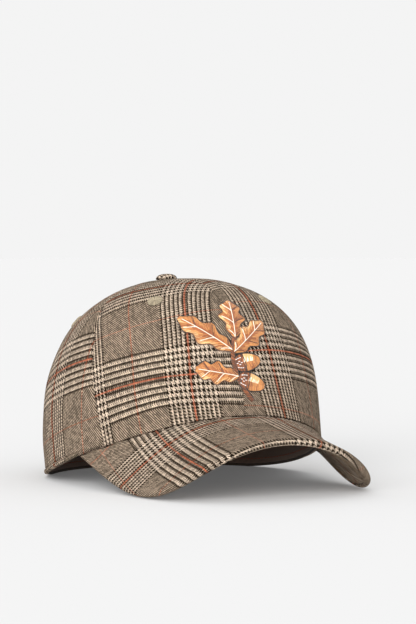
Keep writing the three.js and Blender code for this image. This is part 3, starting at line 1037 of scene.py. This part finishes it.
def sweatband():
    angle = circleAngles(band["columns"]) - math.pi
    around = runLength(crownSkin(np.append(angle, math.pi), 0.0))[:-1]
    shares = np.linspace(0, 1, band["rows"])
    rows, flats = [], []
    for share, inside in [(share, 1) for share in shares] + [(share, 0) for share in shares[::-1]]:
        height = band["height"] * share
        soft = roll(min(height, band["height"] - height), band["round"])
        depth = band["face"] + (band["wall"] - soft) * inside
        rows.append(bandPoint(angle, band["lift"] + height, depth))
        flats.append(np.stack([around, band["lift"] + height + 0 * around], -1))
    faces = [tubeFaces(len(rows), band["columns"], closed=True)]
    return buildPiece("sweatband_tape", rows, faces, [bandMaterial], flats)


def bandStitches():
    pitch = 2 * math.pi / band["stitches"]
    height = band["lift"] + band["stitchLift"]
    edges = (np.arange(band["stitches"]) + np.array(band["stitchSpan"])) * pitch - math.pi
    starts, ends = bandPoint(edges, height, band["face"] + band["wall"] + 0.05)
    middle = edges.mean(0)
    facing = -crownNormal(middle, riseAtHeight(middle, height))
    stitches = (starts, ends, facing, band["threadColour"])
    return sewStitches("sweatband_stitches", stitches, eyeletMaterial, band["thread"], arch=0.25)


hand(sweatband(), "band_cloth", "sweatband")
hand(bandStitches(), "band_cloth")
print("sweatband sewn in")


# Button: a cloth-covered dome on a rivet that clamps the panel tips
button = {
    "radius": 7,
    "height": 4.6,
    "rivetRadius": 2.4,
    "plateRadius": 6,
    "plateWall": 0.8,
    "waist": 0.3,  # share of its height where it is widest
    "pleats": 17,
    "pleatDepth": 0.03,
    "clothPlace": (11, 9),  # of its middle in the check, and the radius over which the cloth stretches
    "stretch": 9,
    "columns": 136,
    "rows": 26,
}


def buttonPiece():
    lean = math.radians(crown["lean"])
    axis = np.array([0, math.sin(lean), math.cos(lean)])
    ahead = np.array([0, -math.cos(lean), math.sin(lean)])
    sideways = np.array([1, 0, 0])
    seat = np.array([0, crown["buttonSetback"], topHeight(crown["buttonSetback"])])
    under, over = -crown["wall"] - crown["gap"], crown["gap"]
    base, plate, rivet = under - button["plateWall"], button["plateRadius"], button["rivetRadius"]
    profile = [(0.01, base, 0), (plate - 0.4, base, 0), (plate, under - 0.4, 0),
               (plate - 0.2, under, 0), (rivet, under, 0), (rivet, over + 0.2, 0)]
    low = button["waist"] * button["height"]
    for turn in np.linspace(-quarterTurn * 0.75, quarterTurn, button["rows"]):
        radius = button["radius"] * math.cos(turn) ** 0.8
        height = over + low + (low if turn < 0 else button["height"] - low) * math.sin(turn)
        profile.append((max(radius, 0.01), height, 1))
    turn = circleAngles(button["columns"])
    rows, flats = [], []
    for radius, height, covered in profile:
        steep = smooth(radius / button["radius"], 0.55, 0.98) * covered
        pleat = np.abs(np.sin(turn * button["pleats"] / 2)) - 0.6
        spread = radius * (1 + button["pleatDepth"] * steep * pleat)
        x, y = spread * np.cos(turn), spread * np.sin(turn)
        rows.append(seat + x[:, None] * sideways + y[:, None] * ahead + height * axis)
        stretch = 1 + covered * max(0, over + button["height"] - height) / button["stretch"]
        flats.append(np.stack([x, y], -1) * stretch + button["clothPlace"])
    bottom = np.arange(button["columns"])[None]
    top = bottom + (len(rows) - 1) * button["columns"]
    faces = [tubeFaces(len(rows), button["columns"]), bottom[:, ::-1], top]
    return buildPiece("button_cloth", rows, faces, [clothMaterial], flats, sharp=60)


hand(buttonPiece(), "check_cloth", "top_button")
print("button covered")


# Eyelets: a padded ring, whipped with stitches that run out from the bore
def eyeletPieces(name, angle):
    centre, outward, circle = eyeletRing(angle, eyelet["columns"])
    middle = (eyelet["bore"] + eyelet["radius"]) / 2
    half = (eyelet["radius"] - eyelet["bore"]) / 2 - 0.3
    rows = []
    for bend in circleAngles(eyelet["rows"]):
        radius = middle + half * math.cos(bend)
        side = "padTop" if math.sin(bend) > 0 else "padFoot"
        lift = eyelet["padLift"] + eyelet[side] * math.sin(bend)
        sag = radius**2 / 170  # follows the crown's curve
        rows.append(centre + circle * radius + outward * (lift - sag))
    faces = [tubeFaces(eyelet["rows"], eyelet["columns"], closed=True)]
    pad = buildPiece(name + "_pad", rows, faces, [eyeletMaterial])
    colour = np.array(eyelet["colour"])
    tintPoints(pad, np.tile(np.append(0.7 * colour, 1), (len(pad.data.vertices), 1)))
    _, _, spokes = eyeletRing(angle, eyelet["stitches"])
    count = (eyelet["stitches"], 1)
    draw = np.random.default_rng(abs(int(angle * 100)) + 5)
    inside = eyelet["opening"] + draw.uniform(-0.1, 0.2, count)
    outside = eyelet["radius"] - 0.15 + draw.uniform(-0.3, 0.25, count)
    starts = centre + spokes * inside + outward * 0.25
    ends = centre + spokes * outside + outward * 0.1
    tints = colour * draw.uniform(0.6, 1.3, count)
    thread = sewStitches(name + "_whipping", (starts, ends, outward, tints), eyeletMaterial,
                         eyelet["thread"], arch=1.0, sides=6, rings=8, seed=7)
    return pad, thread


for name, place in panels.items():
    label = "eyelet_" + name.replace("_panel", "")
    pad, thread = eyeletPieces(label, holeAt(place))
    hand(pad, "eyelet_thread", label)
    hand(thread, "eyelet_thread")
print("eyelets whipped")


# Embroidery: an oak sprig with two acorns, across the front seam, worked over padding
# Lengths are shares of the sprig's height; x runs to the wearer's left, y up from its foot.
sprig = {
    "foot": 9,  # mm above the front of the hem
    "height": 72,
    "stem": [(0.08, 0), (-0.16, 0.3), (0.02, 0.64)],
    "stemWidth": 0.036,
    "lobeDepth": 0.3,
    "bed": 0.5,  # mm of thread under the padding, and of padding
    "pad": 0.6,
    "thread": 0.5,
    "pitch": 0.44,
    "longest": 4.2,  # longest single stitch
    "shortest": 0.4,
    "margin": 0.97,  # how near the outline the satin rows end
    "overlap": 0.03,  # of one stitch over the next, as a share of the row
    "sink": 0.22,
    "slant": 0.9,
}
leaves = [
    {"from": (0, 0.58), "to": (0.06, 1.0), "width": 0.26, "lobes": 3},
    {"from": (-0.05, 0.46), "to": (-0.45, 0.8), "width": 0.27, "lobes": 3},
    {"from": (-0.04, 0.44), "to": (0.33, 0.74), "width": 0.24, "lobes": 3},
    {"from": (-0.03, 0.22), "to": (-0.4, 0.3), "width": 0.22, "lobes": 3},
]
acorns = [
    {"from": (-0.05, 0.33), "to": (0.2, 0.37), "width": 0.16},
    {"from": (-0.03, 0.2), "to": (0.21, 0.13), "width": 0.16},
]
silk = {
    "rust": (0.31, 0.09, 0.022),
    "tan": (0.52, 0.22, 0.062),
    "straw": (0.76, 0.46, 0.20),
    "cream": (0.90, 0.82, 0.68),
    "white": (0.92, 0.91, 0.88),
    "umber": (0.11, 0.038, 0.016),
    "ink": (0.012, 0.010, 0.010),
}

frontRise = np.linspace(0, 0.9, 900)
frontUp = runLength(crownSkin(0.0, frontRise))


def onFront(flat, lift):
    # a point of the flat sprig, laid on the crown
    flat = np.asarray(flat, float)
    rise = np.interp(sprig["foot"] + flat[..., 1], frontUp, frontRise)
    angle = flat[..., 0] / skinWidth(0.0, rise)
    return crownPoint(angle, rise, -lift), crownNormal(angle, rise)


def stemPoint(t):
    foot, bend, tip = (np.array(point, float) * sprig["height"] for point in sprig["stem"])
    t = np.asarray(t, float)[..., None]
    return foot * (1 - t) ** 2 + 2 * bend * t * (1 - t) + tip * t**2


def leafWidth(leaf, s):
    stalk, depth = sprig["stemWidth"] / 2, sprig["lobeDepth"]
    lobed = 1 - depth * np.cos(2 * math.pi * leaf["lobes"] * s)
    body = np.sin(math.pi * s**1.2) ** 0.75 * lobed
    return sprig["height"] * (stalk + (leaf["width"] / 2 - stalk) * body / (1 + depth))


def acornWidth(acorn, s):
    return sprig["height"] * acorn["width"] * (0.15 + 0.85 * np.sin(math.pi * s**0.7) ** 0.5) / 2


def stemWidth(stem, s):
    return sprig["height"] * sprig["stemWidth"] / 2 * (1 + 0 * s)


class Frond:
    # a middle line with a half width either side of it, in flat millimetres
    def __init__(self, shape, width):
        self.shape = shape
        self.width = lambda s: width(shape, np.clip(np.asarray(s, float), 0, 1))

    def spine(self, s):
        s = np.asarray(s, float)
        if "from" not in self.shape:
            return stemPoint(s)
        start, end = (np.array(self.shape[key], float) * sprig["height"] for key in ("from", "to"))
        return start + (end - start) * s[..., None]

    def length(self):
        return runLength(self.spine(np.linspace(0, 1, 50)))[-1]

    def place(self, s, across):
        # across runs from -1 to 1 between the margins
        s = np.asarray(s, float)
        ahead = unit(self.spine(s + 0.01) - self.spine(s - 0.01))
        side = np.stack([-ahead[..., 1], ahead[..., 0]], -1)
        return self.spine(s) + side * (self.width(s) * across)[..., None]


fronds = [(Frond(leaf, leafWidth), "leaf") for leaf in leaves]
fronds += [(Frond(acorn, acornWidth), "acorn") for acorn in acorns]
fronds.append((Frond({}, stemWidth), "stem"))


def padLift(across):
    return crown["gap"] + sprig["bed"] + sprig["pad"] * (1 - across**2)


def paddingPiece():
    rows, columns = 60, 13
    count = 2 * rows * columns
    ends, sides = np.linspace(0.004, 0.996, rows), np.linspace(-0.94, 0.94, columns)
    s, across = np.meshgrid(ends, sides, indexing="ij")
    lift = padLift(across) - 0.75 * sprig["thread"] - 0.2 * (np.abs(across) > 0.9)
    points, faces, tints = [], [], []
    for number, (frond, kind) in enumerate(fronds):
        flat = frond.place(s, across)
        points += [onFront(flat, lift)[0].reshape(-1, 3), onFront(flat, 0.1)[0].reshape(-1, 3)]
        block = [quad + number * count for quad in shellFaces(rows, columns)]
        if signedVolume(np.concatenate(points), block) < 0:
            block = [quad[:, ::-1] for quad in block]
        faces += block
        tints.append(np.tile((*silk["rust" if kind == "leaf" else "umber"], 1), (count, 1)))
    piece = buildPiece("sprig_padding", np.concatenate(points), faces, [sprigMaterial])
    tintPoints(piece, np.concatenate(tints))
    return piece


class Needle:
    # gathers stitches: flat starts and ends, how high each end lies, and a colour
    def __init__(self, seed):
        self.rows = []
        self.draw = np.random.default_rng(seed)

    def stitch(self, start, end, lifts, colour, vary=0.22):
        shade = 1 + self.draw.uniform(-vary, vary)
        self.rows.append((start, end, lifts, np.array(silk[colour]) * shade))

    def sewn(self):
        starts, ends, lifts, colours = (np.array(part) for part in zip(*self.rows))
        first, faceA = onFront(starts, lifts[:, 0])
        last, faceB = onFront(ends, lifts[:, 1])
        return first, last, unit(faceA + faceB), np.clip(colours, 0, 1)


def fillFrond(needle, frond, colourAt, slant, jitter=0.35):
    # satin rows from the midrib out to each margin, cut into stitches no longer than the longest
    length = frond.length()
    for side in (1, -1):
        for s in np.arange(0.01, 0.985, sprig["pitch"] / length):
            out = min(s + slant * frond.width(s) / length, 0.995)
            start = frond.place(s, 0.0)
            way = frond.place(out, sprig["margin"] * side) - start
            span = np.linalg.norm(way)
            if span < sprig["shortest"]:
                continue
            pieces = max(1, math.ceil(span / sprig["longest"]))
            cuts = np.linspace(0, 1, pieces + 1)
            cuts[1:-1] += needle.draw.uniform(-jitter, jitter, pieces - 1) / pieces
            for a, b in zip(cuts[:-1], cuts[1:]):
                low, high = max(a - sprig["overlap"], 0), min(b + sprig["overlap"], 1)
                lifts = [padLift(place) - sprig["sink"] for place in (low, high)]
                colour = colourAt(s, (a + b) / 2 * side, needle.draw.random())
                needle.stitch(start + way * low, start + way * high, lifts, colour)


def runStitches(needle, line, colour, lift, reach, pitch, vary=0.06, spare=0.4):
    along = runLength(line)
    for begin in np.arange(0, along[-1] - spare, pitch):
        start, end = pointsAlong(line, along, [begin, min(begin + reach, along[-1])])
        needle.stitch(start, end, (lift, lift), colour, vary)


def trim(needle, frond, side, colour, low=0.0, high=1.0):
    # short stitches along a margin
    s = np.linspace(low, high, 400)
    line = frond.place(s, side * (1 + 0.25 / frond.width(s)))
    runStitches(needle, line, colour, 0.75, 1.9, 1.05, vary=0.05, spare=0.3)


def leafColour(s, across, chance):
    near = abs(across)
    if near < 0.22 + 0.1 * chance:
        return "rust"
    if near > 0.72:
        return "straw" if across > 0 and chance < 0.75 else "tan"
    return "tan" if chance < 0.8 else "rust"


def nutColour(s, across, chance):
    if s < 0.34:
        return "umber" if chance < 0.45 else "rust"
    if 0.12 < across < 0.5 and s < 0.82:
        return "cream" if chance < 0.55 else "straw"
    return "straw" if across > 0.6 else ("tan" if chance < 0.75 else "rust")


def sewLeaf(needle, frond):
    fillFrond(needle, frond, leafColour, sprig["slant"])
    trim(needle, frond, -1, "ink")
    trim(needle, frond, 1, "umber", high=0.75)
    trim(needle, frond, 1, "ink", low=0.75)
    s = np.linspace(0.02, 0.93, 30)
    runStitches(needle, frond.place(s, 0 * s), "cream", padLift(0) + 0.1, 2.6, 1.9)
    lobes = frond.shape["lobes"]
    t = np.linspace(0, 1, 12)
    for lobe in range(lobes):
        for side, colour in ((1, "cream"), (-1, "umber")):
            line = frond.place((lobe + 0.5) / lobes - 0.16 * (1 - t), side * 0.78 * t)
            runStitches(needle, line, colour, padLift(0.4) + 0.1, 1.8, 1.5)


def sewAcorn(needle, frond):
    fillFrond(needle, frond, nutColour, 0.25)
    for side in (1, -1):
        trim(needle, frond, side, "ink", low=0.02, high=0.985)
    cup = np.linspace(-0.95, 0.95, 20)
    edge = frond.place(0.34 + 0.05 * (1 - cup**2), cup)
    runStitches(needle, edge, "ink", padLift(0.5) + 0.08, 1.6, 1.2)
    for row, s in enumerate((0.09, 0.17, 0.25)):
        for across in np.linspace(-0.6, 0.6, 3 + row % 2):
            centre = frond.place(s, across)
            ahead = frond.place(s + 0.05, across) - centre
            half = 0.55 * ahead / np.linalg.norm(ahead)
            lift = padLift(across) + 0.12
            needle.stitch(centre - half, centre + half, (lift, lift), "white", 0.04)
    start, end = frond.place([0.97, 1.05], 0.0)
    needle.stitch(start, end, (0.6, 0.45), "ink")


def sewStem(needle, frond):
    for s in np.arange(0.0, 0.99, 0.62 / frond.length()):
        start, end = frond.place(s, -0.95), frond.place(min(s + 0.035, 1), 0.95)
        needle.stitch(start, end, (0.75, 0.75), "umber" if needle.draw.random() < 0.55 else "rust")
    trim(needle, frond, -1, "ink", high=0.96)


def embroidery():
    needle = Needle(11)
    for frond, kind in fronds[::-1]:
        {"leaf": sewLeaf, "acorn": sewAcorn, "stem": sewStem}[kind](needle, frond)
    print(len(needle.rows), "stitches in the sprig")
    return sewStitches("sprig_stitches", needle.sewn(), sprigMaterial, sprig["thread"], arch=0.22)


hand(paddingPiece(), "sprig_thread", "front_embroidery")
hand(embroidery(), "sprig_thread")
print("sprig embroidered")


# Light and floor: an even pale ground, a broad key light from ahead and a broader, lower fill
light = {
    "ground": 0.904,
    "floorHalf": 60,  # metres
    "floorGlow": 0.09,  # the floor is a faintly lit table, so shadows stay soft
    "key": 2.9,
    "keyAzimuth": -40,  # from the front, towards the wearer's right
    "keyElevation": 17,
    "keySpread": 40,
    "fill": 1.2,
    "fillAzimuth": -30,
    "fillElevation": 8,
    "fillSpread": 70,
}


def floorShare(elevation, spread):
    # mean sine over the sun's disc, without what lies below the floor
    out = np.sqrt((np.arange(60) + 0.5) / 60) * spread / 2
    out, turn = np.meshgrid(out, circleAngles(60))
    height = math.sin(elevation) * np.cos(out) + math.cos(elevation) * np.sin(out) * np.cos(turn)
    return float(np.maximum(height, 0).mean())


def lightScene():
    world = bpy.data.worlds.new("studio")
    world.use_nodes = True
    world.node_tree.nodes["Background"].inputs[0].default_value = (light["ground"],) * 3 + (1,)
    bpy.context.scene.world = world
    received = light["ground"]
    for name in ("key", "fill"):
        sun = bpy.data.lights.new(name, "SUN")
        sun.energy = light[name]
        sun.angle = math.radians(light[name + "Spread"])
        lamp = addObject(name, sun)
        elevation = math.radians(light[name + "Elevation"])
        lamp.rotation_euler = (quarterTurn - elevation, 0, math.radians(light[name + "Azimuth"]))
        received += light[name] * floorShare(elevation, sun.angle) / math.pi
    material, _, shader = newMaterial("floor", 1.0, specular=0.0)
    grey = (light["ground"] - light["floorGlow"]) / received
    shader.inputs["Base Color"].default_value = (grey, grey, grey, 1)
    shader.inputs["Emission Color"].default_value = (1, 1, 1, 1)
    shader.inputs["Emission Strength"].default_value = light["floorGlow"]
    mesh = bpy.data.meshes.new("floor")
    half = light["floorHalf"]
    corners = [(x * half, y * half, 0) for x, y in ((-1, -1), (1, -1), (1, 1), (-1, 1))]
    mesh.from_pydata(corners, [], [(0, 1, 2, 3)])
    mesh.materials.append(material)
    floor = addObject("floor", mesh)
    floor.location = (0, 0, cadBox[0][2])
    floor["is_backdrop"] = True
    bpy.context.scene.view_settings.view_transform = "Standard"


lightScene()
print("lit")

box = [list(corner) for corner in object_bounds()]
growth = [round((b - a) / mm, 2) for a, b in zip(cadBox[0] + cadBox[1], box[0] + box[1])]
print("model grew by", growth, "mm")
